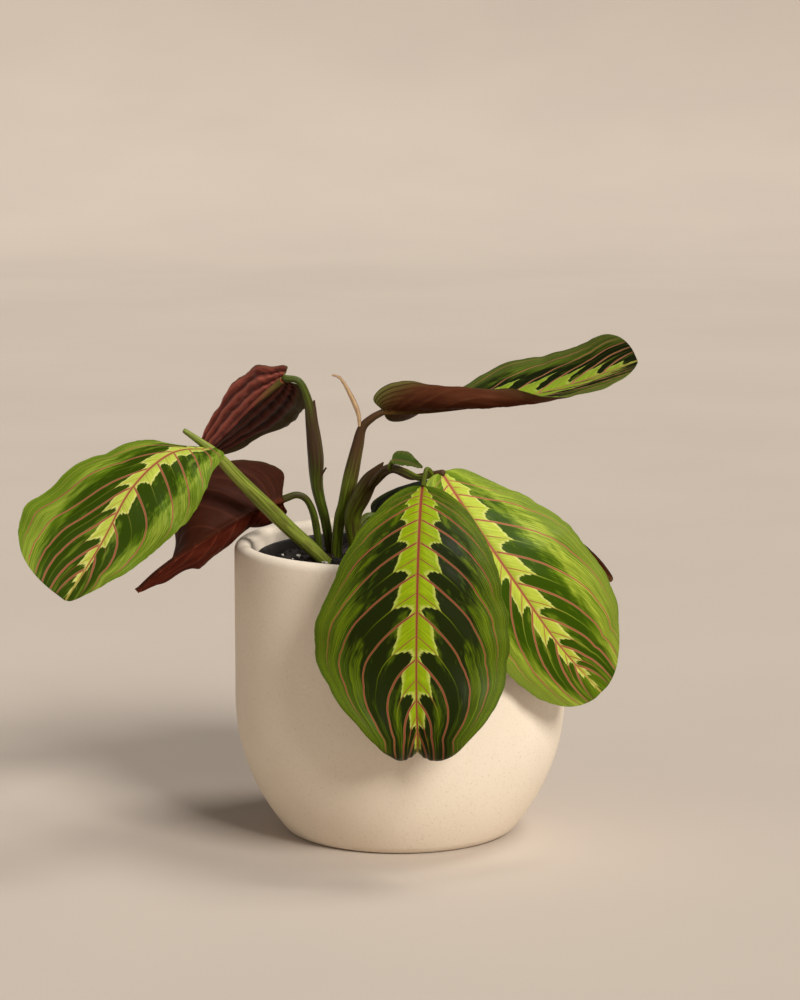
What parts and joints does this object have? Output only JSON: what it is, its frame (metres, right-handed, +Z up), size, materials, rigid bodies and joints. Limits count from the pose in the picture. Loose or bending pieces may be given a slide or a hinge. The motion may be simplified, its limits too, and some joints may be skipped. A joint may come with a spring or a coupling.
{
  "type": "potted prayer plant",
  "caption": "Prayer plant with broad veined leaves on curved stalks, growing from soil in a plastic nursery pot inside a rounded stoneware cachepot.",
  "frame": {"origin": "middle of the cachepot's flat base", "axes": "+Z up, -Y towards the front leaf, +X to the viewer's right"},
  "size_m": [0.2528, 0.1693, 0.2111],
  "materials": {
    "stoneware": "matte cream stoneware, faintly speckled",
    "black_plastic": "thin moulded plastic, satin",
    "soil": "dark crumbly potting soil with perlite",
    "stalk": "smooth green stalk, satin",
    "dried_bract": "dry papery tan",
    "leaf": "satin green upper face with yellow-green centre and pink veins, wine-red underside"
  },
  "bodies": {
    "root": {"cachepot": "stoneware", "nursery_pot": "black_plastic", "soil": "soil", "stalk_left": "stalk", "stem_back_left": "stalk", "stalk_low_left": "stalk", "stem_middle": "stalk", "shoot_front": "stalk", "stalk_back_right": "stalk", "bract_dry": "dried_bract", "leaf_front": "leaf", "leaf_right": "leaf", "leaf_left": "leaf", "leaf_upper_left": "leaf", "leaf_low_left": "leaf", "leaf_upper_right": "leaf", "leaf_back_right": "leaf", "leaf_young": "leaf"}
  },
  "joints": []
}
